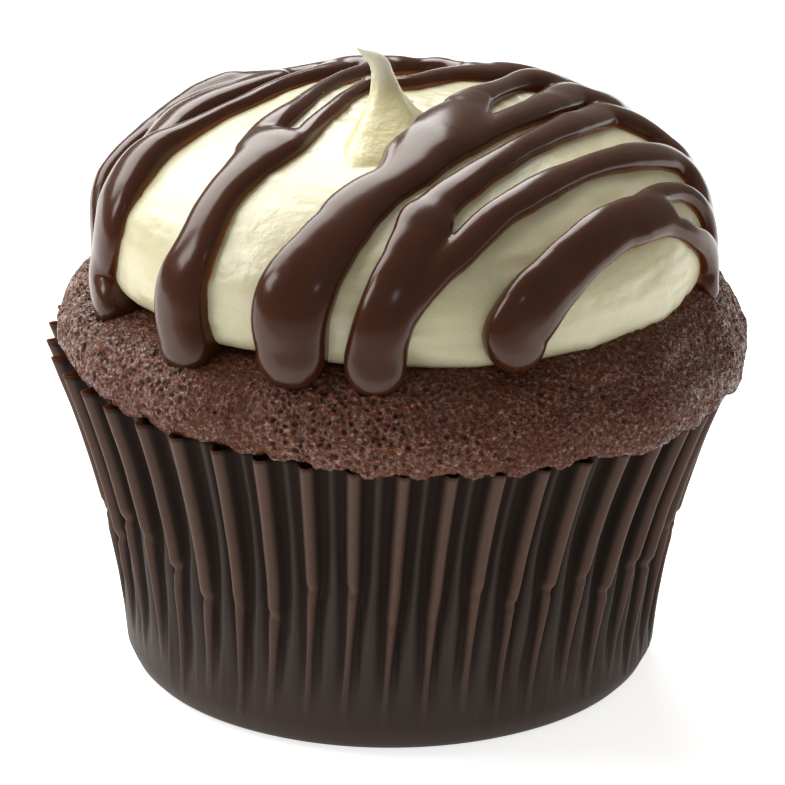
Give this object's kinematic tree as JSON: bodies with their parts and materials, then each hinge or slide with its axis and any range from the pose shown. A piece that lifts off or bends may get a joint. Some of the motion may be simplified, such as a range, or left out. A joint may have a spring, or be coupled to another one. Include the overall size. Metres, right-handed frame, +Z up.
{
  "type": "cupcake",
  "caption": "Cupcake: dark domed cake in a pleated paper case, with white frosting drawn up into a curled peak and a zigzag of poured chocolate.",
  "frame": {"origin": "centre of the flat underside of the paper case", "axes": "+Z up through the cake; the front, the side that the picture shows, faces -Y; +X is to the right seen from the front"},
  "size_m": [0.0667, 0.0658, 0.0626],
  "materials": {
    "paper_case": "dark brown waxed baking paper, satin",
    "cake": "porous dark reddish-brown crumb, matte",
    "frosting": "smooth ivory frosting, soft satin",
    "chocolate": "set dark chocolate glaze, glossy"
  },
  "bodies": {
    "root": {"paper_case": "paper_case", "cake": "cake", "frosting": "frosting", "chocolate_drizzle": "chocolate"}
  },
  "joints": []
}
